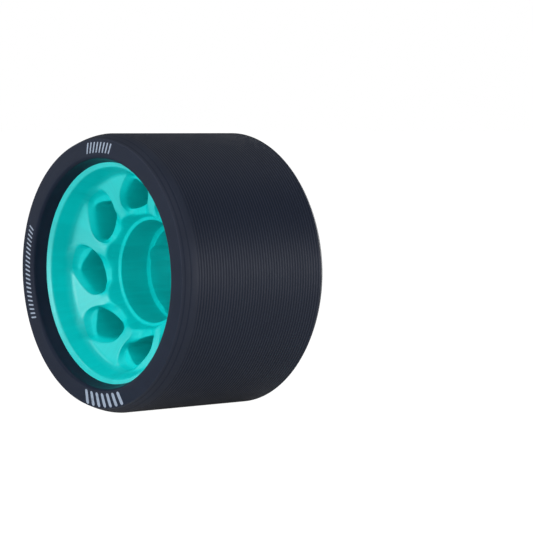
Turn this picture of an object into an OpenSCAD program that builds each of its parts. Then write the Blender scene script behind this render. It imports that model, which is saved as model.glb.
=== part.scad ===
// Roller skate wheel: a urethane tyre cast round a moulded nylon hub.
// The axle runs along Y. The front, with the deep dish, faces -Y, and the origin is the wheel's centre.
// Depths are measured inwards from the tyre's front face, or from its rear face where that is said.

/* [Tyre] */
// Outside diameter over the tread
tyre_d = 59; // [56:0.5:66]
// Width over both side faces
tyre_w = 38; // [36:0.5:44]
// How far the front shoulder falls below the tread
front_drop = 1.2; // [0.6:0.1:2.4]
// Length of the front shoulder along the axle
front_shoulder = 3.8; // [1.6:0.1:6]
// How far the rear shoulder falls below the tread
rear_drop = 1.6; // [0.6:0.1:2.4]
// Length of the rear shoulder along the axle
rear_shoulder = 1.9; // [1:0.1:6]
// Thickness of the urethane between the tread and the hub's rim
urethane_wall = 6.1; // [5:0.1:7]
// Width of the raised lip's sloping inner wall, seen face on
lip_slope = 0.75; // [0.3:0.05:1.2]
// Rounding of the lip's inner edge
lip_round = 0.8; // [0.3:0.1:1.2]
// Spacing of the turned grooves in the tread
groove_pitch = 0.7; // [0.5:0.05:1.4]
// Depth of the turned grooves
groove_depth = 0.06; // [0.02:0.01:0.12]

/* [Hub rim and dish] */
// Depth of the hub's front flange below the tyre's face
front_recess = 3; // [1.5:0.1:4]
// Depth of the hub's rear flange below the tyre's rear face
rear_recess = 3; // [1.5:0.1:4]
// Width of the flange ring
flange_w = 1; // [0.5:0.05:1.4]
// Fall of the flange ring towards the dish
flange_fall = 0.38; // [0:0.02:0.8]
// Width of the dish's sloping wall, seen face on
dish_slope = 1.4; // [0.8:0.1:2.2]
// Depth of the front web at the dish wall
web_depth = 8.05; // [6:0.05:10]
// Fall of the front web towards the core, per millimetre of radius
web_fall = 0.33; // [0:0.01:0.5]
// Fillet between the front web and the dish wall
dish_round = 0.7; // [0.3:0.1:1.2]
// Depth of the rear web below the tyre's rear face
rear_web_depth = 8; // [6:0.1:10]
// Number of ribs that lock the tyre on the rim
rib_count = 4; // [2:1:6]
// Height of the locking ribs
rib_h = 1; // [0.4:0.1:1.6]
// Width of a locking rib at its foot
rib_w = 3.4; // [1.6:0.1:4]

/* [Core] */
// Outside diameter of the bearings
bearing_d = 22; // [21:0.1:23]
// Width of the bearings, which is the depth of each seat
bearing_w = 7; // [6:0.1:8]
// Distance between the two seats, the length of the axle spacer
spacer_len = 10; // [8:0.1:12]
// Depth of the rear seat's mouth below the tyre's rear face
rear_seat_depth = 0; // [0:0.1:1]
// Radius of the hole through the shoulder between the seats
land_r = 9.63; // [8.6:0.01:10]
// Number of notches in the shoulder
notch_count = 4; // [2:1:6]
// Radius that the notches reach
notch_reach = 10.4; // [10:0.05:10.7]
// Radius of a notch
notch_r = 2; // [1:0.1:3]
// Angle of the first notch, clockwise from the top
notch_turn = 20; // [0:1:90]
// Width of the ring round the front seat's mouth
ledge_w = 0.9; // [0.4:0.05:1.2]
// Fall of that ring towards the seat
ledge_fall = 0.25; // [0:0.05:0.6]
// Radius of the core where the front web ends
core_r = 12.8; // [12.5:0.05:13.6]
// Outside radius of the rear bearing housing at its end
housing_r = 12.7; // [12.2:0.1:13.4]
// Spread of the rear bearing housing at its foot
housing_spread = 0.6; // [0:0.1:1]
// Chamfer at the mouth of each seat
seat_chamfer = 0.2; // [0.05:0.05:0.4]

/* [Windows] */
// Number of windows through the hub
window_count = 8; // [6:1:9]
// Angle of the first window's middle, clockwise from the top
window_turn = 42; // [0:0.5:90]
// Depth of the pocket round each window, below the web at the dish wall
pocket_drop = 1.15; // [0.8:0.05:1.6]
// Fall of the pocket's floor towards the core, per millimetre of radius
pocket_fall = 0.365; // [0:0.005:0.5]
// Fillet round the pocket's floor
pocket_round = 1; // [0.3:0.05:1.2]
// Rounding of the window's edge at the pocket's floor
edge_soft = 0.6; // [0.2:0.05:1]
// How much of its size a window keeps halfway through, because of the mould's draft
waist = 0.9; // [0.8:0.01:1]
// Width of the flare where a window comes out at the rear
rear_flare = 0.6; // [0.3:0.05:0.9]

/* [Hidden] */
$fn = 180;
reach = 1;
tyre_r = tyre_d / 2;
face_z = tyre_w / 2;
bearing_r = bearing_d / 2;
rim_r = tyre_r - urethane_wall;
flange_inner_r = rim_r - flange_w;
web_r = flange_inner_r - dish_slope;
dish_lean = 0.32;
dish_top = front_recess + flange_fall;
housing_end = tyre_w - rear_seat_depth;
rear_floor = housing_end - bearing_w;
front_floor = rear_floor - spacer_len;
seat_depth = front_floor - bearing_w;
land_mid = (front_floor + rear_floor) / 2;
rear_web = tyre_w - rear_web_depth;
ledge_r = bearing_r + ledge_w;
ledge_top = seat_depth - ledge_fall;
edge_round = 0.3;
core_round = 0.6;
rear_fillet = 0.5;
groove_clear = 0.3;
shoulder_steps = 8;
round_steps = 4;
rib_gap = 1;
rib_slant = 0.5;
gap_share = 0.48;
front_curve = 2;
rear_curve = 1.25;

// The outline of a window, point by point, clockwise as seen from the front.
// Each row is a point of the pocket's edge, then the matching point of the opening's edge.
// A point is its place across the web, 0 at the core and 1 at the dish wall, and its angle
// from the window's middle in a wheel with eight windows.
WINDOW = [
    [[-0.1, -1.5], [0.14, -4]],
    [[-0.06, -12], [0.16, -10.5]],
    [[0.06, -17.2], [0.21, -14.8]],
    [[0.27, -18.4], [0.31, -16.4]],
    [[0.45, -16.8], [0.44, -14.7]],
    [[0.61, -13.1], [0.56, -10.4]],
    [[0.78, -7.2], [0.68, -5.5]],
    [[0.94, -1.2], [0.78, -1.5]],
    [[1.06, 4], [0.85, 2.2]],
    [[1.09, 9.2], [0.79, 6.8]],
    [[1.01, 14.8], [0.67, 11.8]],
    [[0.87, 18.2], [0.59, 15.4]],
    [[0.66, 19.5], [0.51, 17.5]],
    [[0.46, 19], [0.41, 17]],
    [[0.27, 16.9], [0.32, 13]],
    [[0.06, 14.4], [0.23, 7.8]],
    [[-0.06, 8.5], [0.17, 2]]
];
rows = len(WINDOW);
steps = 2;

// A point at radius r, a degrees clockwise from the top, seen from the front
function polar(r, a) = [r * sin(a), r * cos(a)];

// Depth of the front web at radius r
function web_at(r) = web_depth + web_fall * (web_r - r);

// One side of the window table, as points in the plane of the web
function outline(side) = [
    for (row = WINDOW) polar(
        core_r + row[side][0] * (web_r - core_r),
        row[side][1] * 8 / window_count)
];

// A closed curve through a ring of points, with steps points from each to the next
function curve(p) = [
    for (i = [0 : rows - 1], s = [0 : steps - 1])
        let (a = p[(i + rows - 1) % rows], b = p[i], c = p[(i + 1) % rows], d = p[(i + 2) % rows],
             t = s / steps)
        (2 * b + (c - a) * t + (2 * a - 5 * b + 4 * c - d) * t * t
            + (3 * b - 3 * c + d - a) * t * t * t) / 2
];

// The middle of a ring of points
function middle(p) = [for (q = p) 1] * p / len(p);

// A ring of points shrunk about its middle
function shrunk(p, share) = let (m = middle(p)) [for (q = p) m + share * (q - m)];

// A ring of points moved outwards by a distance, away from its middle
function grown(p, distance) = let (m = middle(p)) [for (q = p) q + distance * (q - m) / norm(q - m)];

// The points of a ring set at their depths
function at_depth(p, depths) = [for (i = [0 : len(p) - 1]) [p[i][0], p[i][1], face_z - depths[i]]];
function level(p, depth) = [for (q = p) depth];
function floor_at(r) = web_depth + pocket_drop + pocket_fall * (web_r - r);

// A ring between the pocket's edge and the opening's, shifted by share of size across the gap
// from either one and lying drop above or below the pocket's floor
function step_ring(from, to, size, share, drop) =
    let (p = [for (i = [0 : len(from) - 1])
        let (gap = to[i] - from[i]) from[i] + min(size, gap_share * norm(gap)) * share * gap / norm(gap)])
    at_depth(p, [for (q = p) floor_at(norm(q)) + drop]);

// The pocket's fillet: part 0 stands at the pocket's edge, part 1 lies on its floor
function fillet_ring(pocket, opening, part) =
    step_ring(pocket, opening, pocket_round, 1 - cos(90 * part), -pocket_round * (1 - sin(90 * part)));

// The opening's rounded edge: part 0 lies on the floor, part 1 stands in the opening
function edge_ring(pocket, opening, part) =
    step_ring(opening, pocket, edge_soft, 1 - sin(90 * part), edge_soft * (1 - cos(90 * part)));

// The solid that cuts one window: pocket, opening, tapering tunnel and rear flare
module window_cutter() {
    pocket = curve(outline(0));
    opening = curve(outline(1));
    n = len(pocket);
    rings = [
        at_depth(pocket, level(pocket, dish_top + reach)),
        fillet_ring(pocket, opening, 0),
        fillet_ring(pocket, opening, 1 / 3),
        fillet_ring(pocket, opening, 2 / 3),
        fillet_ring(pocket, opening, 1),
        edge_ring(pocket, opening, 0),
        edge_ring(pocket, opening, 0.5),
        edge_ring(pocket, opening, 1),
        at_depth(shrunk(opening, waist), level(opening, land_mid)),
        at_depth(opening, level(opening, rear_web - rear_flare)),
        at_depth(grown(opening, rear_flare), level(opening, rear_web)),
        at_depth(grown(opening, rear_flare), level(opening, rear_web + reach))
    ];
    last = len(rings) - 1;
    top = len(rings) * n;
    polyhedron(
        points = concat([for (ring = rings, q = ring) q], [middle(rings[0]), middle(rings[last])]),
        faces = concat(
            [for (i = [0 : n - 1]) [top, i, (i + 1) % n]],
            [for (k = [0 : last - 1], i = [0 : n - 1])
                let (j = (i + 1) % n) each [
                    [k * n + i, (k + 1) * n + j, k * n + j],
                    [k * n + i, (k + 1) * n + i, (k + 1) * n + j]]],
            [for (i = [0 : n - 1]) [top + 1, last * n + (i + 1) % n, last * n + i]]),
        convexity = 6);
}

// The bonded face between hub and tyre: points [radius, depth] from front to rear
function bond() =
    let (front = front_recess, run = tyre_w - front_recess - rear_recess,
         pitch = run / rib_count, foot = min(rib_w, pitch - rib_gap), top = foot - 2 * rib_slant)
    concat(
        [[rim_r, front]],
        [for (i = [0 : rib_count - 1])
            let (middle = front + pitch * (i + 0.5)) each [
                [rim_r, middle - foot / 2], [rim_r + rib_h, middle - top / 2],
                [rim_r + rib_h, middle + top / 2], [rim_r, middle + foot / 2]]],
        [[rim_r, tyre_w - rear_recess]]);

// A shoulder's points from the side face to the tread
function shoulder(drop, length, power) = [
    for (i = [0 : shoulder_steps]) let (t = i / shoulder_steps)
        [tyre_r - drop * pow(1 - t, power), length * t]
];

// The rounded inner edge of a lip and the wall below it, from the wall's foot up to the face
function lip(recess) =
    let (r = rim_r + lip_slope)
    concat([[rim_r, recess]], [
        for (i = [0 : round_steps]) let (a = 90 * i / round_steps)
            [r + lip_round * (1 - cos(a)), lip_round * (1 - sin(a))]]);

// The turned grooves along the tread, as a row of shallow notches
function grooves(from, to) =
    let (count = floor((to - from) / groove_pitch), start = (from + to - count * groove_pitch) / 2)
    [for (i = [0 : count - 1]) each [
        [tyre_r, start + groove_pitch * i],
        [tyre_r - groove_depth, start + groove_pitch * (i + 0.5)]]];

function reversed(p) = [for (i = [len(p) - 1 : -1 : 0]) p[i]];
function from_rear(p) = [for (q = p) [q[0], tyre_w - q[1]]];

// A fillet or rounding that leaves a for b at corner c, as points on a quarter curve
function rounded(a, c, b, size) =
    let (u = (a - c) / norm(a - c), v = (b - c) / norm(b - c))
    [for (i = [0 : round_steps]) let (t = i / round_steps)
        c + size * ((1 - t) * (1 - t) * u + t * t * v)];

// Turns a profile of [radius, depth] points about the axle
module turned(profile) {
    rotate([90, 0, 0])
        rotate_extrude()
            polygon([for (q = profile) [q[0], face_z - q[1]]]);
}

function hub_front() =
    let (flange = [flange_inner_r, dish_top],
         foot = [web_r, web_depth],
         core = [core_r, web_at(core_r)],
         ledge = [ledge_r, ledge_top],
         mouth = [bearing_r + seat_chamfer, seat_depth - ledge_fall * seat_chamfer / ledge_w])
    concat(
        [[land_r, front_floor], [bearing_r, front_floor],
         [bearing_r, seat_depth + seat_chamfer], mouth],
        rounded(mouth, ledge, core, edge_round),
        rounded(ledge, core, foot, core_round),
        rounded(core, foot, flange, dish_round),
        rounded(foot, flange, [rim_r, front_recess], edge_round));

function hub_rear() =
    let (flange = [flange_inner_r, tyre_w - rear_recess - flange_fall],
         foot = [flange_inner_r - dish_lean * (flange[1] - rear_web), rear_web],
         root = [housing_r + housing_spread, rear_web],
         rim = [housing_r, housing_end])
    concat(
        rounded([rim_r, tyre_w - rear_recess], flange, foot, edge_round),
        rounded(flange, foot, root, dish_round),
        rounded(foot, root, rim, rear_fillet),
        rounded(root, rim, [bearing_r, housing_end], edge_round),
        [[bearing_r + seat_chamfer, housing_end], [bearing_r, housing_end - seat_chamfer],
         [bearing_r, rear_floor], [land_r, rear_floor]]);

// The notches through the shoulder between the seats
module notches() {
    rotate([90, 0, 0])
        for (i = [0 : notch_count - 1])
            let (p = polar(notch_reach - notch_r, notch_turn + 360 / notch_count * i))
            translate([p[0], p[1], face_z - rear_floor - reach])
                cylinder(h = spacer_len + 2 * reach, r = notch_r);
}

module hub() {
    color("#12C4C0")
    difference() {
        turned(concat(hub_front(), bond(), hub_rear()));
        for (i = [0 : window_count - 1])
            rotate([0, window_turn + 360 / window_count * i, 0])
                rotate([90, 0, 0])
                    window_cutter();
        notches();
    }
}

module tyre() {
    color("#2B2D38")
    turned(concat(
        lip(front_recess),
        shoulder(front_drop, front_shoulder, front_curve),
        grooves(front_shoulder + groove_clear, tyre_w - rear_shoulder - groove_clear),
        reversed(from_rear(shoulder(rear_drop, rear_shoulder, rear_curve))),
        reversed(from_rear(lip(rear_recess))),
        reversed(bond())));
}

hub();
tyre();
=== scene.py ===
import math

import bmesh
import bpy
import numpy as np
from mathutils import Euler, Matrix, Vector


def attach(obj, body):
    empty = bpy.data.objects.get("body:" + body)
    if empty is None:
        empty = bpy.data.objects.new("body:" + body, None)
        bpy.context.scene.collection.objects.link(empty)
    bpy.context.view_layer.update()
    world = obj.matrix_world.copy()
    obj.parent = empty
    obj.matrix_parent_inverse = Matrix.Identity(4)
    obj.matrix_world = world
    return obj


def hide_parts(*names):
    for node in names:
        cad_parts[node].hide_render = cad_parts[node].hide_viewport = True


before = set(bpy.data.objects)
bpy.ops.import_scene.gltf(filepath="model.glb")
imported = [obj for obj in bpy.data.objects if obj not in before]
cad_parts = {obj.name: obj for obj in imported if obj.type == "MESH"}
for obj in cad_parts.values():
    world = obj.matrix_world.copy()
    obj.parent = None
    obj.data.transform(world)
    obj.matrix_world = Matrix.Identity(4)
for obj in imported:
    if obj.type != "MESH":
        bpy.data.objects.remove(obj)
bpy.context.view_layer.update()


# The hub's web. The real hub is one moulding of nylon: a conical web between the core and the
# rim, with eight swirl windows. Each window is sunk in a pocket whose floor turns over a soft
# edge into an opening that narrows to the mould's parting line and widens again behind it.

# One eighth of the web is made here, round one window. Sizes are in millimetres, depths are
# measured from the tyre's front face, and angles run clockwise as seen from the front.
half_width = 19.0
rear_face = 2 * half_width
core_r, web_r = 12.8, 21.0
web_depth, web_fall = 8.05, 0.33
rear_web = 30.0
rim_r, rim_front, rim_rear = 23.4, 3.0, 35.0
edge_round, core_round, dish_round, housing_round = 0.3, 0.6, 0.7, 0.5


def rounded(before, corner, after, size, steps=6):
    # points along a soft corner that starts and ends this far from the sharp one
    before, corner, after = np.array(before), np.array(corner), np.array(after)
    back = (before - corner) / np.linalg.norm(before - corner)
    onwards = (after - corner) / np.linalg.norm(after - corner)
    return [corner + size * ((1 - t) ** 2 * back + t ** 2 * onwards)
            for t in np.linspace(0, 1, steps + 1)]


seat_mouth = (11.1, 14.04)
ledge_edge = (11.72, 13.88)
web_core = (core_r, web_depth + web_fall * (web_r - core_r))
web_foot = (web_r, web_depth)
flange_edge = (22.4, 3.38)
flange_rim = (rim_r, rim_front)
front_section = np.array(
    [seat_mouth]
    + rounded(seat_mouth, ledge_edge, web_core, edge_round)
    + rounded(ledge_edge, web_core, web_foot, core_round)
    + rounded(web_core, web_foot, flange_edge, dish_round)
    + rounded(web_foot, flange_edge, flange_rim, edge_round)
    + [flange_rim])
housing_edge = (12.7, rear_face)
housing_root = (13.3, rear_web)
rear_foot = (20.92, rear_web)
rear_flange_edge = (22.4, 34.62)
rear_flange_rim = (rim_r, rim_rear)
rear_section = np.array(
    rounded(housing_edge, housing_root, rear_foot, housing_round)
    + rounded(housing_root, rear_foot, rear_flange_edge, dish_round)
    + rounded(rear_foot, rear_flange_edge, rear_flange_rim, edge_round)
    + [rear_flange_rim])


def front_depth(radius):
    return np.interp(radius, front_section[:, 0], front_section[:, 1])


def rear_depth(radius):
    return np.interp(radius, rear_section[:, 0], rear_section[:, 1])


# Each row is a point of the pocket's edge and the matching point of the opening's edge, as a
# place between the core, 0, and the dish wall, 1, and an angle from the window's middle.
window_rows = [
    ((-0.1, -1.5), (0.12, -4)), ((-0.06, -12), (0.125, -10.8)), ((0.1, -17.2), (0.185, -15.2)),
    ((0.27, -18.4), (0.3, -16.6)), ((0.45, -16.8), (0.44, -14.7)), ((0.61, -13.1), (0.56, -10.4)),
    ((0.78, -7.2), (0.68, -5.5)), ((0.94, -1.2), (0.78, -1.5)), ((1.06, 4), (0.85, 2.2)),
    ((1.09, 9.2), (0.79, 6.8)), ((1.01, 14.8), (0.67, 11.8)), ((0.87, 18.2), (0.59, 15.4)),
    ((0.66, 19.5), (0.51, 17.5)), ((0.46, 19), (0.41, 17)), ((0.27, 16.9), (0.32, 13)),
    ((0.06, 14.4), (0.215, 7.8)), ((-0.06, 8.5), (0.15, 2))]


def to_polar(flat):
    return np.hypot(flat[:, 0], flat[:, 1]), np.arctan2(flat[:, 0], flat[:, 1])


def from_polar(radius, angle):
    return np.stack([radius * np.sin(angle), radius * np.cos(angle)], axis=1)


def window_points(side):
    place, turn = np.array([row[side] for row in window_rows]).T
    return from_polar(core_r + place * (web_r - core_r), np.radians(turn))


def round_curve(points, where):
    # the smooth closed curve through the points, at places that are counted in points
    start = np.floor(where).astype(int)
    t = (where - start)[:, None]
    a, b, c, d = (points[(start + step) % len(points)] for step in (-1, 0, 1, 2))
    return (2 * b + (c - a) * t + (2 * a - 5 * b + 4 * c - d) * t ** 2
            + (3 * b - 3 * c + d - a) * t ** 3) / 2


def outwards(points, where, nudge=0.02):
    along = round_curve(points, where + nudge) - round_curve(points, where - nudge)
    along /= np.linalg.norm(along, axis=1)[:, None]
    return np.stack([-along[:, 1], along[:, 0]], axis=1)


def fade(value, start, full):
    # 0 up to the start, 1 from full onwards, and a smooth rise between them
    share = np.clip((value - start) / (full - start), 0, 1)
    return share * share * (3 - 2 * share)


def deeper(one, other, softness):
    # the deeper of two surfaces, with a soft bend where they meet
    near = np.maximum(softness - np.abs(one - other), 0) / softness
    return np.maximum(one, other) + near * near * softness / 4


# Between a window and the core the web sinks in a soft scallop, without a wall.
window_count = 8
half_step = 180 / window_count
scallop_depth, scallop_rise, scallop_turn, scallop_flat = 12.2, 1.75, -1.8, 4.5
scallop_end, scallop_drop = 14.3, 1.5


def scallop(flat):
    radius, turn = to_polar(flat)
    off = np.abs((np.degrees(turn) - scallop_turn + half_step) % (2 * half_step) - half_step)
    beyond = np.maximum(radius - scallop_end, 0)
    return (scallop_depth - scallop_rise * fade(off, scallop_flat, half_step)
            - web_fall * (radius - core_r) - scallop_drop * beyond ** 2)


# The web's face turns into the scallop over a soft ridge, and so does the pocket's floor.
ridge_softness = 0.7
pocket_drop, pocket_fall, pocket_end = 1.15, 0.365, 15.0


def web_surface(flat):
    return deeper(front_depth(to_polar(flat)[0]), scallop(flat), ridge_softness)


def pocket_depth(radius):
    return np.minimum(web_depth + pocket_drop + pocket_fall * (web_r - radius), scallop_depth)


def floor_surface(flat, lift):
    radius = to_polar(flat)[0]
    floor = pocket_depth(radius)
    floor = floor + fade(radius, pocket_end, core_r) * (scallop(flat) - floor)
    return deeper(front_depth(radius), floor + lift, ridge_softness)


# The spoke between two windows swirls as it goes outwards: radii and the angles there. The left
# and right sides of the window lie between these places, which are counted in rows of the table.
swirl_rows = ((12.8, -0.7), (15, -0.75), (16.5, 1.1), (18.2, 3.8), (19.9, 7.1), (21, 8))
pocket_edge, opening_edge = window_points(0), window_points(1)
left_start, left_end, right_start, right_end = 0.3, 8.6, 9.4, 16.7
left_places = np.linspace(left_start, left_end, 400)
right_places = np.linspace(right_start, right_end, 400)
left_reach = to_polar(round_curve(pocket_edge, left_places))[0]
right_reach = to_polar(round_curve(pocket_edge, right_places))[0]


def swirl(radius):
    return np.interp(radius, *zip(*swirl_rows))


def left_at(radius):
    return np.interp(radius, left_reach, left_places)


def right_at(radius):
    return np.interp(radius, right_reach[::-1], right_places[::-1])


# The columns of the mesh run once round the window: up the left side, along the dish wall,
# down the right side and back along the core.
columns_arc = 24
front_inner, front_outer = 11.85, 22.3
rear_inner, rear_outer, rear_margin = 13.3, 20.35, 0.15
corner_inner, corner_outer = 12.33, 21.36
side_radii = np.array([
    12.40, 12.50, 12.58, 12.65, 12.71, 12.77, 12.84, 12.92, 13.02, 13.14, 13.28, 13.45, 13.70,
    14.05, 14.50, 15.00, 15.60, 16.25, 16.90, 17.55, 18.20, 18.80, 19.35, 19.80, 20.15, 20.40,
    20.60, 20.78, 20.93, 21.05, 21.15, 21.27])
side_share = (side_radii - side_radii[0]) / (side_radii[-1] - side_radii[0])
rear_sides = rear_inner + rear_margin + side_share * (rear_outer - rear_inner - 2 * rear_margin)
arc = np.linspace(-half_step, half_step, columns_arc + 1)
once_round = len(window_rows)
where = np.concatenate([
    [left_at(corner_inner)], left_at(side_radii),
    np.linspace(left_at(corner_outer), right_at(corner_outer), columns_arc + 1),
    right_at(side_radii[::-1]),
    np.linspace(right_at(corner_inner), once_round + left_at(corner_inner), columns_arc + 1)[:-1]])
border_turn = np.radians(np.concatenate([
    [swirl(front_inner) - half_step], swirl(side_radii) - half_step,
    swirl(front_outer) + arc, swirl(side_radii[::-1]) + half_step,
    swirl(front_inner) + arc[::-1][:-1]]))


def border(inner, sides, outer):
    return np.concatenate([[inner], sides, np.full(columns_arc + 1, outer), sides[::-1],
                           np.full(columns_arc, inner)])


front_border = border(front_inner, side_radii, front_outer)
rear_border = border(rear_inner, rear_sides, rear_outer)
pocket, opening = round_curve(pocket_edge, where), round_curve(opening_edge, where)
pocket_out, opening_out = outwards(pocket_edge, where), outwards(opening_edge, where)
gap = np.linalg.norm(opening - pocket, axis=1)
inwards = (opening - pocket) / gap[:, None]

# Where it is wide, the pocket is a scoop with a floor, and a soft edge round the opening. At the
# window's narrow sides one slanted wall runs straight into the opening.
wide_gap, near_core, off_core = (1.15, 1.95), (14.2, 12.6), (14.0, 16.2)
pocket_r = to_polar(pocket)[0]
leaving_core = np.where(where > right_start, fade(pocket_r, *off_core), 1.0)
wide = np.maximum(fade(gap, *wide_gap) * leaving_core, fade(pocket_r, *near_core))
sunk = floor_surface(pocket, 0) - web_surface(pocket)

# The pocket's wall is softer at its outer right corner, and its rim sharpens where it runs out.
soft_place, soft_spread, soft_share = 11.2, 1.5, 0.8
soft_wall = soft_share * np.exp(-((where - soft_place) / soft_spread) ** 4)
top_round, soft_round, least_round, rim_drop = 0.25, 0.3, 0.04, (0.1, 0.6)
rim_round = (top_round + soft_round * soft_wall) * (
    least_round + (1 - least_round) * fade(sunk, *rim_drop))
scoop_size, scoop_share = 1.8, 0.68
scoop_across = np.minimum(scoop_size, scoop_share * gap)
window_edge, edge_share = 0.28, 0.3
edge_across = np.minimum(window_edge, edge_share * gap)
slant_drop, slant_straight = 0.3, 0.8
slant_foot = floor_surface(opening, slant_drop)


def sink(across, slanted, turned_over):
    # the surface this far from the rim, or this share of the way down a slanted wall
    middle = pocket + inwards * across[:, None]
    done = np.clip(across / scoop_across, 0, 1)
    scoop = np.sin(np.pi / 2 * done)
    scoop = scoop + soft_wall * (fade(done, 0, 1) - scoop)
    scoop = floor_surface(middle, window_edge * turned_over) - sunk * (1 - scoop)
    bend = slant_straight * slanted + (1 - slant_straight) * slanted ** 8
    slant = web_surface(pocket) + (slant_foot - web_surface(pocket)) * bend
    narrow = pocket + inwards * (gap * slanted)[:, None]
    return (narrow + wide[:, None] * (middle - narrow), slant + wide * (scoop - slant))


# The mesh is laid in rings round the window, from the border of this eighth of the web over the
# rim, down the wall, along the floor and over the opening's edge, and so to the rear.
rings = []
face_rings, rim_rings, wall_rings, floor_rings, edge_rings = 9, 5, 14, 5, 7


def lay(flat, depth):
    rings.append(np.column_stack([flat, depth]))


edge_r, edge_turn = to_polar(pocket + pocket_out * rim_round[:, None])
for share in np.linspace(0, 1, face_rings, endpoint=False):
    radius = front_border + share * (edge_r - front_border)
    flat = from_polar(radius, border_turn + share * (edge_turn - border_turn))
    lay(flat, web_surface(flat))
rim_part, rim_slant, wall_slant, floor_slant = 0.15, 0.05, 0.6, 0.8
rim_start = from_polar(edge_r, edge_turn)
rim_end, rim_end_depth = sink(rim_part * scoop_across, rim_slant, 0)
for t in np.linspace(0, 1, rim_rings, endpoint=False):
    from_start, from_rim, from_end = (1 - t) ** 2, 2 * t * (1 - t), t * t
    lay(from_start * rim_start + from_rim * pocket + from_end * rim_end,
        from_start * web_surface(rim_start) + from_rim * web_surface(pocket)
        + from_end * rim_end_depth)
for share in np.linspace(0, 1, wall_rings):
    lay(*sink((rim_part + (1 - rim_part) * share) * scoop_across,
              rim_slant + (wall_slant - rim_slant) * share, 0))
for share in np.linspace(0, 1, floor_rings + 2)[1:-1]:
    lay(*sink(scoop_across + share * (gap - scoop_across - edge_across),
              wall_slant + (floor_slant - wall_slant) * share, 0))
for quarter in np.linspace(0, math.pi / 2, edge_rings):
    lay(*sink(gap - edge_across * (1 - math.sin(quarter)),
              floor_slant + (1 - floor_slant) * math.sin(quarter), 1 - math.cos(quarter)))

# The opening's waist lies two thirds of the way through, where share ** 2 * (1 - share) is 4/27.
window_waist, rear_round, rear_edge_rings, rear_face_rings = 0.9, 0.45, 6, 6
mouth_depth = rings[-1][:, 2]
opening_middle = opening.mean(axis=0)
for share in (0.08, 0.2, 0.35, 0.5, 0.63, 0.75, 0.88):
    squeeze = (1 - window_waist) * 27 / 4 * share ** 2 * (1 - share)
    lay(opening + squeeze * (opening_middle - opening),
        mouth_depth + share * (rear_web - rear_round - mouth_depth))
for quarter in np.radians(np.linspace(0, 90, rear_edge_rings)):
    flat = opening + opening_out * rear_round * (1 - math.cos(quarter))
    lay(flat, rear_depth(to_polar(flat)[0]) - rear_round * (1 - math.sin(quarter)))
edge_r, edge_turn = to_polar(rings[-1][:, :2])
for share in np.linspace(0, 1, rear_face_rings + 1)[1:]:
    radius = edge_r + share * (rear_border - edge_r)
    flat = from_polar(radius, edge_turn + share * (border_turn - edge_turn))
    lay(flat, rear_depth(radius))


def mesh_from(name, points, columns):
    # closed rings of points, given as across, depth and height in millimetres, with faces
    # between each ring and the next
    rows = len(points) // columns
    faces = [(k * columns + j, k * columns + (j + 1) % columns,
              (k + 1) * columns + (j + 1) % columns, (k + 1) * columns + j)
             for k in range(rows - 1) for j in range(columns)]
    mesh = bpy.data.meshes.new(name)
    mesh.from_pydata([(x / 1000, (depth - half_width) / 1000, z / 1000)
                      for x, depth, z in points], [], faces)
    mesh.update()
    return mesh


def put_in_scene(name, data):
    made = bpy.data.objects.new(name, data)
    bpy.context.scene.collection.objects.link(made)
    return made


web_points = [(x, depth, z) for ring in rings for x, z, depth in ring]
web_part = put_in_scene("web_part", mesh_from("web_part", web_points, len(where)))


# The hub's nylon: turquoise, satin gloss, with a trace of how the melt flowed out from the core
# and a very fine grain from the mould's face.
def feed(tree, made, inputs):
    # each of the node's inputs that is named gets a plain value or a link
    for name, value in inputs.items():
        if isinstance(value, bpy.types.NodeSocket):
            tree.links.new(value, made.inputs[name])
        else:
            made.inputs[name].default_value = value


def node(tree, kind, inputs=None, **settings):
    made = tree.nodes.new(kind)
    for name, value in settings.items():
        setattr(made, name, value)
    feed(tree, made, inputs or {})
    return made


def calc(tree, operation, *values):
    return node(tree, "ShaderNodeMath", dict(enumerate(values)), operation=operation).outputs[0]


def ramp(tree, value, low, high, to_low=0.0, to_high=1.0):
    return node(tree, "ShaderNodeMapRange", {
        "Value": value, "From Min": low, "From Max": high, "To Min": to_low, "To Max": to_high},
        interpolation_type="SMOOTHSTEP").outputs["Result"]


def blend_colour(tree, share, one, other):
    made = node(tree, "ShaderNodeMix", {"Factor": share}, data_type="RGBA")
    places = [number for number, socket in enumerate(made.inputs) if socket.type == "RGBA"]
    feed(tree, made, dict(zip(places, (one, other))))
    return [socket for socket in made.outputs if socket.type == "RGBA"][0]


def noise(tree, position, scale, detail, roughness=0.5):
    return node(tree, "ShaderNodeTexNoise", {
        "Vector": position, "Scale": scale, "Detail": detail, "Roughness": roughness,
    }).outputs["Fac"]


def bump(tree, height, strength, distance):
    return node(tree, "ShaderNodeBump", {
        "Height": height, "Strength": strength, "Distance": distance}).outputs["Normal"]


def new_tree(name, kind, inputs, outputs):
    # inputs are each a label, a type and a plain value, and outputs a label and a type
    tree = bpy.data.node_groups.new(name, kind)
    names = {}
    for label, socket_kind, value in inputs:
        socket = tree.interface.new_socket(label, in_out="INPUT", socket_type=socket_kind)
        if value is not None:
            socket.default_value = value
        names[label] = socket.identifier
    for label, socket_kind in outputs:
        tree.interface.new_socket(label, in_out="OUTPUT", socket_type=socket_kind)
    return tree, names, node(tree, "NodeGroupInput").outputs, node(tree, "NodeGroupOutput")


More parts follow.
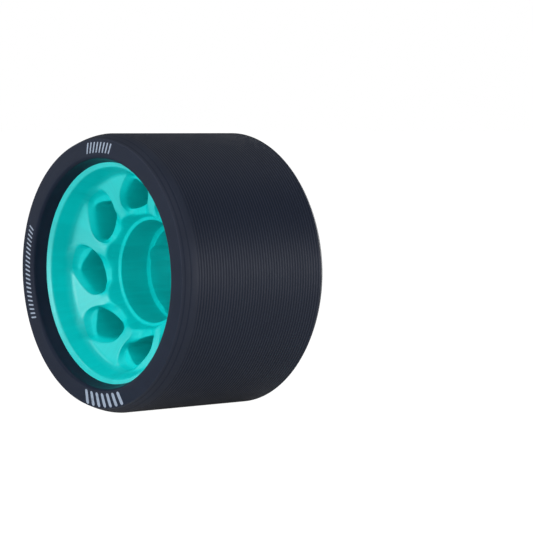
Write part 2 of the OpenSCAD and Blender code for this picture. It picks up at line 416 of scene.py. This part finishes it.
# Satin grain, for the nylon, the urethane and the ink: uneven gloss and a fine height.
grain_tree, _, given, wanted = new_tree(
    "satin_grain", "ShaderNodeTree",
    [("Position", "NodeSocketVector", None), ("Grain Scale", "NodeSocketFloat", 3000.0),
     ("Patch Scale", "NodeSocketFloat", 120.0), ("Roughness", "NodeSocketFloat", 0.4),
     ("Roughness Spread", "NodeSocketFloat", 0.05)],
    [("Roughness", "NodeSocketFloat"), ("Height", "NodeSocketFloat"),
     ("Patches", "NodeSocketFloat")])
patches = noise(grain_tree, given["Position"], given["Patch Scale"], detail=3.0)
grains = noise(grain_tree, given["Position"], given["Grain Scale"], detail=1.0)
swing = calc(grain_tree, "SUBTRACT", patches, 0.5)
swing = calc(grain_tree, "MULTIPLY", swing, given["Roughness Spread"])
swing = calc(grain_tree, "MULTIPLY_ADD", swing, 2.0, given["Roughness"])
feed(grain_tree, wanted, {"Roughness": swing, "Height": grains, "Patches": patches})


def satin_grain(tree, position, roughness, spread, grain_scale, patch_scale):
    return node(tree, "ShaderNodeGroup", {
        "Position": position, "Grain Scale": grain_scale, "Patch Scale": patch_scale,
        "Roughness": roughness, "Roughness Spread": spread}, node_tree=grain_tree).outputs


def polar_of(tree, position):
    # distance from the axle and angle clockwise from the top, both seen from the front
    x, y, z = node(tree, "ShaderNodeSeparateXYZ", {0: position}).outputs
    reach = calc(tree, "SQRT", calc(tree, "ADD", calc(tree, "MULTIPLY", x, x),
                                    calc(tree, "MULTIPLY", z, z)))
    return reach, calc(tree, "ARCTAN2", x, z), y


def new_material(name):
    material = bpy.data.materials.new(name)
    material.use_nodes = True
    return material, material.node_tree


hub_nylon, tree = new_material("hub_nylon")
shader = tree.nodes["Principled BSDF"]
position = node(tree, "ShaderNodeTexCoord").outputs["Object"]
reach, turn, along = polar_of(tree, position)
seat_wall, seat_edge, bore_dulling = 0.0111, 0.0113, 0.3
in_bore = ramp(tree, reach, seat_wall, seat_edge, 1.0, 0.0)
grain = satin_grain(tree, position, roughness=0.38, spread=0.03, grain_scale=2600.0,
                    patch_scale=140.0)

# The streaks of the flow are short round the axle and long from the core outwards.
flow_round, flow_out = 6.0, 55.0
flow_place = node(tree, "ShaderNodeCombineXYZ", {
    "X": calc(tree, "MULTIPLY", calc(tree, "SINE", turn), flow_round),
    "Y": calc(tree, "MULTIPLY", calc(tree, "COSINE", turn), flow_round),
    "Z": calc(tree, "MULTIPLY", calc(tree, "ADD", reach, along), flow_out)})
flow = noise(tree, flow_place.outputs[0], scale=1.0, detail=4.0, roughness=0.6)
deep_turquoise, pale_turquoise = (0.000, 0.525, 0.521, 1), (0.000, 0.590, 0.582, 1)

# The web's face and the flange ring were polished in the mould. They shine more than the walls,
# which slid along the mould as it opened and whose sheen keeps more of the nylon's own colour.
web_level, pocket_level = -0.0040, -0.0037
above_web = calc(tree, "MULTIPLY_ADD", reach, web_fall, along)
polished = ramp(tree, above_web, web_level, pocket_level, 1.0, 0.0)
wall_foot, wall_top = (0.0212, 0.0216), (0.0222, 0.0224)
in_wall = calc(tree, "MULTIPLY", ramp(tree, reach, *wall_foot),
               ramp(tree, reach, *wall_top, 1.0, 0.0))
polished = calc(tree, "MULTIPLY", polished, calc(tree, "SUBTRACT", 1.0, in_wall))
wall_gloss, added_gloss, bore_loss = 0.26, 0.42, -0.11
gloss = calc(tree, "MULTIPLY_ADD", polished, added_gloss, wall_gloss)
wall_tint, face_tint = (0.38, 0.97, 1.0, 1), (0.95, 1.0, 1.0, 1)

# Plain values first, for viewers that drop a linked gloss, and then the maps.
feed(tree, shader, {"IOR": 1.5, "Specular IOR Level": 0.4, "Specular Tint": (0.7, 1.0, 1.0, 1)})
feed(tree, shader, {
    "Base Color": blend_colour(tree, ramp(tree, flow, 0.35, 0.65), deep_turquoise, pale_turquoise),
    "Roughness": calc(tree, "MULTIPLY_ADD", in_bore, bore_dulling, grain["Roughness"]),
    "Specular IOR Level": calc(tree, "MULTIPLY_ADD", in_bore, bore_loss, gloss),
    "Specular Tint": blend_colour(tree, polished, wall_tint, face_tint),
    "Normal": bump(tree, grain["Height"], strength=0.12, distance=0.00004)})


# Geometry Nodes set copies of a part round the axle, as the mould's cavities are cut, and weld
# them into one piece.
weld_distance = 0.000001
window_turn = 42.0


def made_by(thing, tree, names, values):
    # runs the tree on an object and gives the result as a plain mesh, without the modifier
    modifier = thing.modifiers.new(tree.name, "NODES")
    modifier.node_group = tree
    for label, value in values.items():
        modifier[names[label]] = value
    bpy.context.view_layer.update()
    depsgraph = bpy.context.evaluated_depsgraph_get()
    mesh = bpy.data.meshes.new_from_object(thing.evaluated_get(depsgraph), depsgraph=depsgraph)
    thing.modifiers.remove(modifier)
    return mesh


copies_tree, copies_names, given, wanted = new_tree(
    "copies_round_axle", "GeometryNodeTree",
    [("Geometry", "NodeSocketGeometry", None), ("Count", "NodeSocketInt", window_count),
     ("First Angle", "NodeSocketFloat", 0.0),
     ("Weld Distance", "NodeSocketFloat", weld_distance),
     ("Material", "NodeSocketMaterial", None)],
    [("Geometry", "NodeSocketGeometry")])
places = node(copies_tree, "GeometryNodePoints", {"Count": given["Count"]})
turn_step = calc(copies_tree, "DIVIDE", 2 * math.pi, given["Count"])
number = node(copies_tree, "GeometryNodeInputIndex").outputs[0]
copy_turn = calc(copies_tree, "MULTIPLY_ADD", number, turn_step, given["First Angle"])
about_axle = node(copies_tree, "ShaderNodeCombineXYZ", {"Y": copy_turn})
as_rotation = node(copies_tree, "FunctionNodeEulerToRotation", {0: about_axle.outputs[0]})
set_out = node(copies_tree, "GeometryNodeInstanceOnPoints", {
    "Points": places.outputs[0], "Instance": given["Geometry"],
    "Rotation": as_rotation.outputs[0]})
realized = node(copies_tree, "GeometryNodeRealizeInstances", {0: set_out.outputs[0]})
welded = node(copies_tree, "GeometryNodeMergeByDistance", {
    "Geometry": realized.outputs[0], "Distance": given["Weld Distance"]})
painted = node(copies_tree, "GeometryNodeSetMaterial", {
    "Geometry": welded.outputs[0], "Material": given["Material"]})
feed(copies_tree, wanted, {"Geometry": painted.outputs[0]})

web_mesh = made_by(web_part, copies_tree, copies_names, {
    "Count": window_count, "First Angle": math.radians(window_turn), "Material": hub_nylon})
bpy.data.objects.remove(web_part)


# The hub's core, housing, flanges and rim. They are turned shapes of the same moulding: the
# bearing seats at each end of the core, the shoulder with four soft lobes between them, the
# rear bearing housing, and the ribs on the rim that hold the urethane.
seat_r, land_r = 11.0, 9.63
front_floor, rear_floor = 21.0, 31.0
lobe_count, lobe_turn, lobe_reach, lobe_r, lobe_softness = 4, 20.0, 10.4, 2.0, 0.12
fine_round, seat_round, land_edge = 0.08, 0.12, 0.12
segments = window_count * columns_arc


def lobed(turns):
    half_lobe = 180 / lobe_count
    off = np.radians((np.degrees(turns) - lobe_turn + half_lobe) % (2 * half_lobe) - half_lobe)
    middle = lobe_reach - lobe_r
    inside = np.clip(lobe_r ** 2 - (middle * np.sin(off)) ** 2, 0, None)
    lobe = middle * np.cos(off) + np.sqrt(inside)
    return deeper(np.full(len(turns), land_r), lobe, lobe_softness)


def turned(name, rows, first_turn):
    # rows are (radius, depth, share of the lobes' reach); they are turned once round the axle
    turns = math.radians(first_turn) + np.arange(segments) * 2 * math.pi / segments
    points = []
    for radius, depth, lobes in rows:
        reach = radius + lobes * (lobed(turns) - land_r)
        points += [(r * math.sin(a), depth, r * math.cos(a)) for r, a in zip(reach, turns)]
    return mesh_from(name, points, segments)


def plain(pairs):
    return [(radius, depth, 0.0) for radius, depth in pairs]


# The rows of the core run from the ledge through both seats and up the rear housing.
hair = 0.000001
inner_front = [p for p in front_section[::-1] if p[0] < front_inner - hair]
part_edge = land_edge * 0.3
core_rows = (
    plain([(front_inner, front_depth(front_inner))])
    + plain(inner_front)
    + plain(rounded(seat_mouth, (seat_r, 14.14), (seat_r, 16.0), fine_round, 3))
    + plain([(seat_r, 17.0), (seat_r, 19.0)])
    + plain(rounded((seat_r, 19.0), (seat_r, front_floor), (land_r, front_floor), seat_round, 3))
    + [(land_r + land_edge, front_floor, 1.0), (land_r + part_edge, front_floor + part_edge, 1.0),
       (land_r, front_floor + land_edge, 1.0), (land_r, 23.5, 1.0), (land_r, 26.0, 1.0),
       (land_r, 28.5, 1.0), (land_r, rear_floor - land_edge, 1.0),
       (land_r + part_edge, rear_floor - part_edge, 1.0), (land_r + land_edge, rear_floor, 1.0)]
    + plain(rounded((land_r, rear_floor), (seat_r, rear_floor), (seat_r, 33.0), seat_round, 3))
    + plain([(seat_r, 33.0), (seat_r, 35.5), (seat_r, 37.8), (11.2, rear_face), (11.6, rear_face)])
    + plain(rounded((11.6, rear_face), housing_edge, housing_root, edge_round, 5))
    + plain([(12.78, 37.0), (12.85, 36.0), (13.0, 34.0), (13.15, 32.0)])
    + plain([rear_section[0]])
    + plain([(rear_inner, rear_depth(rear_inner))]))
core_mesh = turned("core", core_rows, window_turn + swirl(front_inner) - half_step)

rib_count, rib_height, rib_foot, rib_slant = 4, 1.0, 3.4, 0.5
bond = [(rim_r, rim_front)]
for rib in range(rib_count):
    middle = rim_front + (rim_rear - rim_front) / rib_count * (rib + 0.5)
    bond += [(rim_r, middle - rib_foot / 2),
             (rim_r + rib_height, middle - rib_foot / 2 + rib_slant),
             (rim_r + rib_height, middle + rib_foot / 2 - rib_slant),
             (rim_r, middle + rib_foot / 2)]
bond += [(rim_r, rim_rear)]
outer_front = [p for p in front_section[:-1] if p[0] > front_outer + hair]
outer_rear = [p for p in rear_section[:-1][::-1] if p[0] > rear_outer + hair]
rim_rows = plain(
    [(front_outer, front_depth(front_outer))] + outer_front + bond + outer_rear
    + [(rear_outer, rear_depth(rear_outer))])
rim_mesh = turned("rim", rim_rows, window_turn + swirl(front_outer) - half_step)


def as_one_piece(name, meshes, material, sharp_from):
    joined = bmesh.new()
    for mesh in meshes:
        joined.from_mesh(mesh)
    bmesh.ops.remove_doubles(joined, verts=joined.verts, dist=weld_distance)
    bmesh.ops.recalc_face_normals(joined, faces=joined.faces)
    whole = bpy.data.meshes.new(name)
    joined.to_mesh(whole)
    joined.free()
    whole.materials.clear()
    whole.materials.append(material)
    whole.polygons.foreach_set("material_index", [0] * len(whole.polygons))
    whole.shade_smooth()
    whole.set_sharp_from_angle(angle=math.radians(sharp_from))
    return put_in_scene(name, whole)


hub = as_one_piece("wheel_hub", [web_mesh, core_mesh, rim_mesh], hub_nylon, sharp_from=38)
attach(hub, "root")
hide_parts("hub")


# The tyre. Cast urethane, poured round the hub's ribbed rim and then turned on a lathe: flat
# side faces, rounded lips round the hub, soft shoulders with two fainter tool marks, and a
# tread of fine even rings. Its section is drawn here and turned by Geometry Nodes.
tread_r, face_r = 29.485, 28.3
groove_pitch, groove_count, groove_depth, rows_per_groove = 0.713, 45, 0.06, 5
tread_start = 3.8
tread_end = tread_start + groove_pitch * groove_count
tyre_segments = 256

lip_r, lip_round = 24.15, 0.8
lip = [(rim_r + share * (lip_r - rim_r), depth) for share, depth in ((0.25, 2.45), (0.6, 1.65))]
lip += [(lip_r + lip_round * (1 - math.cos(a)), lip_round * (1 - math.sin(a)))
        for a in np.radians(np.linspace(0, 90, 9))]
rear_lip = [(r, rear_face - depth) for r, depth in lip[::-1]]

shoulder_curve, shoulder_rows = 1.5, 43
shoulder = [(tread_r - (tread_r - face_r) * (1 - t) ** shoulder_curve, tread_start * t)
            for t in np.linspace(0, 1, shoulder_rows)]
mark_reach = 0.13
for mark_depth, mark_cut in ((1.75, 0.03), (3.45, 0.05)):
    shoulder = [(r - mark_cut * math.exp(-((d - mark_depth) / mark_reach) ** 2), d)
                for r, d in shoulder]
rear_shoulder, rear_drop, rear_curve, rear_rows = 1.9, 1.6, 1.25, 11
rear_edge = [(tread_r - rear_drop * (1 - t) ** rear_curve, rear_face - rear_shoulder * t)
             for t in np.linspace(0, 1, rear_rows)]
section = (
    [(rim_r, rim_front)] + lip
    + [(25.8, 0.0), (26.9, 0.0), (28.0, 0.0)]
    + [tuple(p) for p in rounded((28.0, 0.0), (face_r, 0.0), shoulder[2], fine_round, 3)]
    + shoulder[2:-1]
    + [(tread_r, tread_start + groove_pitch * k / rows_per_groove)
       for k in range(groove_count * rows_per_groove + 1)]
    + rear_edge[::-1]
    + [(27.2, rear_face), (26.2, rear_face)] + rear_lip
    + bond[::-1])
section_mesh = bpy.data.meshes.new("tyre_section")
section_mesh.from_pydata([(r / 1000, (d - half_width) / 1000, 0) for r, d in section], [], [])
tyre_section = put_in_scene("tyre_section", section_mesh)

lathe_tree, lathe_names, given, wanted = new_tree(
    "turned_tyre", "GeometryNodeTree",
    [("Geometry", "NodeSocketGeometry", None), ("Rows", "NodeSocketInt", 100),
     ("Segments", "NodeSocketInt", tyre_segments), ("Tread Start", "NodeSocketFloat", -0.0152),
     ("Tread End", "NodeSocketFloat", 0.0168), ("Groove Pitch", "NodeSocketFloat", 0.000713),
     ("Groove Depth", "NodeSocketFloat", 0.00006),
     ("Weld Distance", "NodeSocketFloat", weld_distance),
     ("Material", "NodeSocketMaterial", None)],
    [("Geometry", "NodeSocketGeometry")])


def lathe(operation, *values):
    return calc(lathe_tree, operation, *values)


# A flat sheet has a row for each point of the section and a column for each step of the turn.
sheet = node(lathe_tree, "GeometryNodeMeshGrid", {
    "Vertices X": given["Rows"], "Vertices Y": lathe("ADD", given["Segments"], 1.0),
    "Size X": 1.0, "Size Y": 1.0})
here = node(lathe_tree, "GeometryNodeInputPosition").outputs[0]
spot = node(lathe_tree, "ShaderNodeSeparateXYZ", {0: here}).outputs
row = lathe("MULTIPLY", lathe("ADD", spot[0], 0.5), lathe("SUBTRACT", given["Rows"], 1.0))
angle = lathe("MULTIPLY", lathe("ADD", spot[1], 0.5), 2 * math.pi)
drawn = node(lathe_tree, "GeometryNodeSampleIndex", {
    "Geometry": given["Geometry"], "Value": here, "Index": lathe("ROUND", row),
}, data_type="FLOAT_VECTOR")
drawn_r, drawn_y, _ = node(lathe_tree, "ShaderNodeSeparateXYZ", {0: drawn.outputs[0]}).outputs

# The tread's rings are cut as it turns.
on_tread = lathe("MULTIPLY", lathe("GREATER_THAN", drawn_y, given["Tread Start"]),
                 lathe("LESS_THAN", drawn_y, given["Tread End"]))
tool_place = lathe("DIVIDE", lathe("SUBTRACT", drawn_y, given["Tread Start"]),
                   given["Groove Pitch"])
wave = lathe("COSINE", lathe("MULTIPLY", tool_place, 2 * math.pi))
wave = lathe("MULTIPLY_ADD", wave, -0.5, 0.5)
cut = lathe("MULTIPLY", lathe("MULTIPLY", wave, on_tread), given["Groove Depth"])
turned_r = lathe("SUBTRACT", drawn_r, cut)
turned_place = node(lathe_tree, "ShaderNodeCombineXYZ", {
    "X": lathe("MULTIPLY", turned_r, lathe("SINE", angle)), "Y": drawn_y,
    "Z": lathe("MULTIPLY", turned_r, lathe("COSINE", angle))})
laid = node(lathe_tree, "GeometryNodeSetPosition", {
    "Geometry": sheet.outputs[0], "Position": turned_place.outputs[0]})
closed = node(lathe_tree, "GeometryNodeMergeByDistance", {
    "Geometry": laid.outputs[0], "Distance": given["Weld Distance"]})
realized = node(lathe_tree, "GeometryNodeRealizeInstances", {0: closed.outputs[0]})
painted = node(lathe_tree, "GeometryNodeSetMaterial", {
    "Geometry": realized.outputs[0], "Material": given["Material"]})
feed(lathe_tree, wanted, {"Geometry": painted.outputs[0]})

# The urethane is navy black. The side faces are smooth and satin, and the tread is a little
# duller where the tool has cut it. Three plain rows of slanted bars are printed in pale ink
# round the front face.
urethane, tree = new_material("urethane")
shader = tree.nodes["Principled BSDF"]
position = node(tree, "ShaderNodeTexCoord").outputs["Object"]
reach, turn, along = polar_of(tree, position)
side_edge, shoulder_foot = 0.0283, 0.0284
on_side = ramp(tree, reach, side_edge, shoulder_foot, 1.0, 0.0)
grain = satin_grain(tree, position, roughness=0.42, spread=0.04, grain_scale=3500.0,
                    patch_scale=160.0)
tread_grain = satin_grain(tree, position, roughness=0.5, spread=0.05, grain_scale=5200.0,
                          patch_scale=240.0)
roughness = calc(tree, "MULTIPLY_ADD", on_side,
                 calc(tree, "SUBTRACT", grain["Roughness"], tread_grain["Roughness"]),
                 tread_grain["Roughness"])
navy_black, paler_navy = (0.0082, 0.0130, 0.0262, 1), (0.0098, 0.0150, 0.0295, 1)
colour = blend_colour(tree, ramp(tree, grain["Patches"], 0.3, 0.7), navy_black, paler_navy)


# One row of printed bars with rounded ends, set round the face ring. Lengths are in metres.
bars_tree, _, given, wanted = new_tree(
    "printed_bars", "ShaderNodeTree",
    [("Reach", "NodeSocketFloat", 0.0), ("Turn", "NodeSocketFloat", 0.0),
     ("Middle Turn", "NodeSocketFloat", 0.0), ("Middle Reach", "NodeSocketFloat", 0.0265),
     ("Count", "NodeSocketFloat", 5.0), ("Pitch", "NodeSocketFloat", 0.001),
     ("Width", "NodeSocketFloat", 0.0005), ("Height", "NodeSocketFloat", 0.002),
     ("Slant", "NodeSocketFloat", 0.0)],
    [("Ink", "NodeSocketFloat")])


def bars(operation, *values):
    return calc(bars_tree, operation, *values)


across = bars("SUBTRACT", given["Turn"], given["Middle Turn"])
across = bars("MULTIPLY", bars("WRAP", across, math.pi, -math.pi), given["Middle Reach"])
upwards = bars("SUBTRACT", given["Reach"], given["Middle Reach"])
across = bars("SUBTRACT", across, bars("MULTIPLY", upwards, given["Slant"]))
last_bar = bars("SUBTRACT", given["Count"], 1.0)
half_row = bars("MULTIPLY", last_bar, 0.5)
place = bars("ADD", bars("DIVIDE", across, given["Pitch"]), half_row)
nearest = bars("MINIMUM", bars("MAXIMUM", bars("ROUND", place), 0.0), last_bar)
beside = bars("MULTIPLY", bars("ABSOLUTE", bars("SUBTRACT", place, nearest)), given["Pitch"])
half_bar = bars("MULTIPLY", given["Width"], 0.5)
straight = bars("SUBTRACT", bars("MULTIPLY", given["Height"], 0.5), half_bar)
beyond = bars("MAXIMUM", bars("SUBTRACT", bars("ABSOLUTE", upwards), straight), 0.0)
away = bars("SQRT", bars("ADD", bars("MULTIPLY", beside, beside),
                         bars("MULTIPLY", beyond, beyond)))
away = bars("SUBTRACT", away, half_bar)
ink_blur = 0.00003
feed(bars_tree, wanted, {"Ink": ramp(bars_tree, away, -ink_blur, ink_blur, 1.0, 0.0)})


def printed_bars(middle, low, high, count, pitch, width, slant):
    # the lengths are given in millimetres, and low and high are distances from the axle
    return node(tree, "ShaderNodeGroup", {
        "Reach": reach, "Turn": turn, "Middle Turn": math.radians(middle),
        "Middle Reach": (low + high) / 2000, "Count": count, "Pitch": pitch / 1000,
        "Width": width / 1000, "Height": (high - low) / 1000, "Slant": slant,
    }, node_tree=bars_tree).outputs["Ink"]


top_bars = printed_bars(middle=0, low=25.4, high=27.7, count=8, pitch=1.12, width=0.42, slant=0.3)
left_bars = printed_bars(
    middle=268, low=25.4, high=27.1, count=22, pitch=0.95, width=0.34, slant=0.3)
low_bars = printed_bars(
    middle=177, low=25.1, high=28.1, count=7, pitch=1.95, width=0.95, slant=-0.35)
near_front_face, ink_thickness = -0.0189, 0.3
pale_ink = (0.29, 0.345, 0.44, 1)
ink = calc(tree, "MAXIMUM", top_bars, calc(tree, "MAXIMUM", left_bars, low_bars))
ink = calc(tree, "MULTIPLY", ink, calc(tree, "LESS_THAN", along, near_front_face))
worn = ramp(tree, noise(tree, position, scale=900.0, detail=3.0), 0.3, 0.42, 0.75, 1.0)
ink = calc(tree, "MULTIPLY", ink, worn)
colour = blend_colour(tree, ink, colour, pale_ink)

# The valleys between the tread's rings and the shoulder's fainter marks are duller, and painted
# shade darkens their colour.
painted_shade_navy, dull_marks = (0.0078, 0.0122, 0.0248, 1), (0.62, 1.75, 3.5)
tool_turn = calc(tree, "MULTIPLY_ADD", along, 2000 * math.pi / groove_pitch,
                 2 * math.pi * (half_width - tread_start) / groove_pitch)
ridge = ramp(tree, calc(tree, "COSINE", tool_turn), -0.55, 0.55)
on_tread = calc(tree, "GREATER_THAN", along, (tread_start - half_width) / 1000)
valley = calc(tree, "MULTIPLY", calc(tree, "SUBTRACT", 1.0, ridge), on_tread)
for mark_depth in dull_marks:
    off = calc(tree, "ABSOLUTE", calc(tree, "SUBTRACT", along, (mark_depth - half_width) / 1000))
    valley = calc(tree, "MAXIMUM", valley, ramp(tree, off, 0.00004, 0.0002, 0.7, 0.0))
valley = calc(tree, "MULTIPLY", valley, calc(tree, "SUBTRACT", 1.0, on_side))
# Painted shade: the valleys' colour is darkened here.
colour = blend_colour(tree, valley, colour, painted_shade_navy)

# A fine highlight is painted into the colour where the front face meets the shoulder.
highlight_reach, painted_highlight_navy = 0.02828, (0.024, 0.030, 0.047, 1)
off = calc(tree, "ABSOLUTE", calc(tree, "SUBTRACT", reach, highlight_reach))
painted_edge_highlight = calc(tree, "MULTIPLY", ramp(tree, off, 0.00004, 0.00014, 0.8, 0.0),
                   calc(tree, "LESS_THAN", along, 0.0))
# The painted highlight goes into the colour here.
colour = blend_colour(tree, painted_edge_highlight, colour, painted_highlight_navy)
height = calc(tree, "MULTIPLY_ADD", ink, ink_thickness, grain["Height"])
tread_gloss, side_loss, valley_loss = 0.38, -0.28, -0.22
gloss = calc(tree, "MULTIPLY_ADD", on_side, side_loss, tread_gloss)
feed(tree, shader, {"IOR": 1.48, "Specular IOR Level": 0.25, "Specular Tint": (0.9, 0.9, 1.0, 1)})
feed(tree, shader, {
    "Base Color": colour,
    "Roughness": roughness,
    "Specular IOR Level": calc(tree, "MULTIPLY_ADD", valley, valley_loss, gloss),
    "Normal": bump(tree, height, strength=0.15, distance=0.00004)})

tyre_mesh = made_by(tyre_section, lathe_tree, lathe_names, {
    "Rows": len(section), "Segments": tyre_segments,
    "Tread Start": (tread_start - half_width) / 1000, "Tread End": (tread_end - half_width) / 1000,
    "Groove Pitch": groove_pitch / 1000, "Groove Depth": groove_depth / 1000,
    "Material": urethane})
bpy.data.objects.remove(tyre_section)
tyre = as_one_piece("cast_tyre", [tyre_mesh], urethane, sharp_from=50)
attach(tyre, "root")
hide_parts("tyre")


# The studio: a white sweep under and behind the wheel, which stands on its tread. The camera
# sees it as plain white with the wheel's soft shadow, and the lamps are large and soft.
floor_height, floor_reach = -0.0295, 40
floor_mesh = bpy.data.meshes.new("floor")
floor_mesh.from_pydata(
    [(x * floor_reach, y * floor_reach, floor_height)
     for x, y in ((-1, -1), (1, -1), (1, 1), (-1, 1))], [], [(0, 1, 2, 3)])
floor = put_in_scene("floor", floor_mesh)


def share_out(tree, share, one, other, output_kind):
    mixed = node(tree, "ShaderNodeMixShader", {0: share, 1: one.outputs[0], 2: other.outputs[0]})
    node(tree, output_kind, {"Surface": mixed.outputs[0]})


# To the camera the paper is nearly all its own white light, and in reflections a little of it.
camera_share, gloss_share = 0.92, 0.1
paper, tree = new_material("white_paper")
tree.nodes.clear()
diffuse = node(tree, "ShaderNodeBsdfDiffuse", {"Color": (0.88, 0.88, 0.88, 1)})
bright = node(tree, "ShaderNodeEmission", {"Strength": 1.12})
rays = node(tree, "ShaderNodeLightPath").outputs
own_light = calc(tree, "MULTIPLY", rays["Is Camera Ray"], camera_share)
own_light = calc(tree, "MULTIPLY_ADD", rays["Is Glossy Ray"], gloss_share, own_light)
share_out(tree, own_light, diffuse, bright, "ShaderNodeOutputMaterial")
floor_mesh.materials.append(paper)

# The room behind it is plain white too, and lights the wheel softly from every side.
world = bpy.data.worlds.new("studio")
bpy.context.scene.world = world
world.use_nodes = True
tree = world.node_tree
tree.nodes.clear()
rays = node(tree, "ShaderNodeLightPath").outputs
seen = calc(tree, "MAXIMUM", rays["Is Camera Ray"], rays["Is Transmission Ray"])
soft = node(tree, "ShaderNodeBackground", {"Color": (1, 1, 1, 1), "Strength": 0.16})
white = node(tree, "ShaderNodeBackground", {"Color": (1, 1, 1, 1), "Strength": 1.0})
share_out(tree, seen, soft, white, "ShaderNodeOutputWorld")

# Each lamp has an azimuth, which is 0 in front of the wheel, an elevation, a width, a height and
# a power. They all stand at the same distance and look at the wheel's centre.
lamp_distance = 0.85
lamps = (
    ("front_lamp", 12, 6, 0.8, 0.36, 5.4),
    ("left_lamp", -24, 0, 0.5, 0.34, 1.55),
    ("far_left_lamp", -60, 0, 0.5, 0.4, 0.95),
    ("top_lamp", -15, 62, 0.7, 0.6, 2.2),
    ("top_back_lamp", 185, 50, 0.6, 0.5, 0.35),
    ("back_lamp", 206, 9, 0.55, 0.4, 2.2),
    ("upper_right_lamp", 65, 45, 0.5, 0.5, 0.9),
    ("right_lamp", 103, 2, 0.4, 0.32, 1.3),
    ("back_right_lamp", 126, 0, 0.45, 0.3, 2.5))
for name, azimuth, elevation, width, height, power in lamps:
    lamp = bpy.data.lights.new(name, "AREA")
    lamp.shape = "RECTANGLE"
    lamp.size, lamp.size_y, lamp.energy = width, height, power
    a, e = math.radians(azimuth), math.radians(elevation)
    place = Vector((math.sin(a) * math.cos(e), -math.cos(a) * math.cos(e), math.sin(e)))
    softbox = put_in_scene(name, lamp)
    softbox.location = place * lamp_distance
    softbox.rotation_euler = (-place).to_track_quat("-Z", "Y").to_euler()

# The camera stands where the photograph's did, as worked out from the tyre's two outlines.
photo_width, focal_length, film_width = 533, 2400, 36.0
camera_turn, camera_tilt = math.radians(49.8683336), math.radians(3.2759080)
camera_place = Vector((0.4071949, -0.3162462, 0.0303391))
camera_data = bpy.data.cameras.new("camera")
camera_data.sensor_width = film_width
camera_data.lens = film_width * focal_length / photo_width
camera_data.clip_start, camera_data.clip_end = 0.01, 200.0
camera = put_in_scene("camera", camera_data)
looking = Euler((math.pi / 2 - camera_tilt, 0, camera_turn)).to_matrix().to_4x4()
camera.matrix_world = Matrix.Translation(camera_place) @ looking
bpy.context.scene.camera = camera
bpy.context.scene.view_settings.view_transform = "Standard"
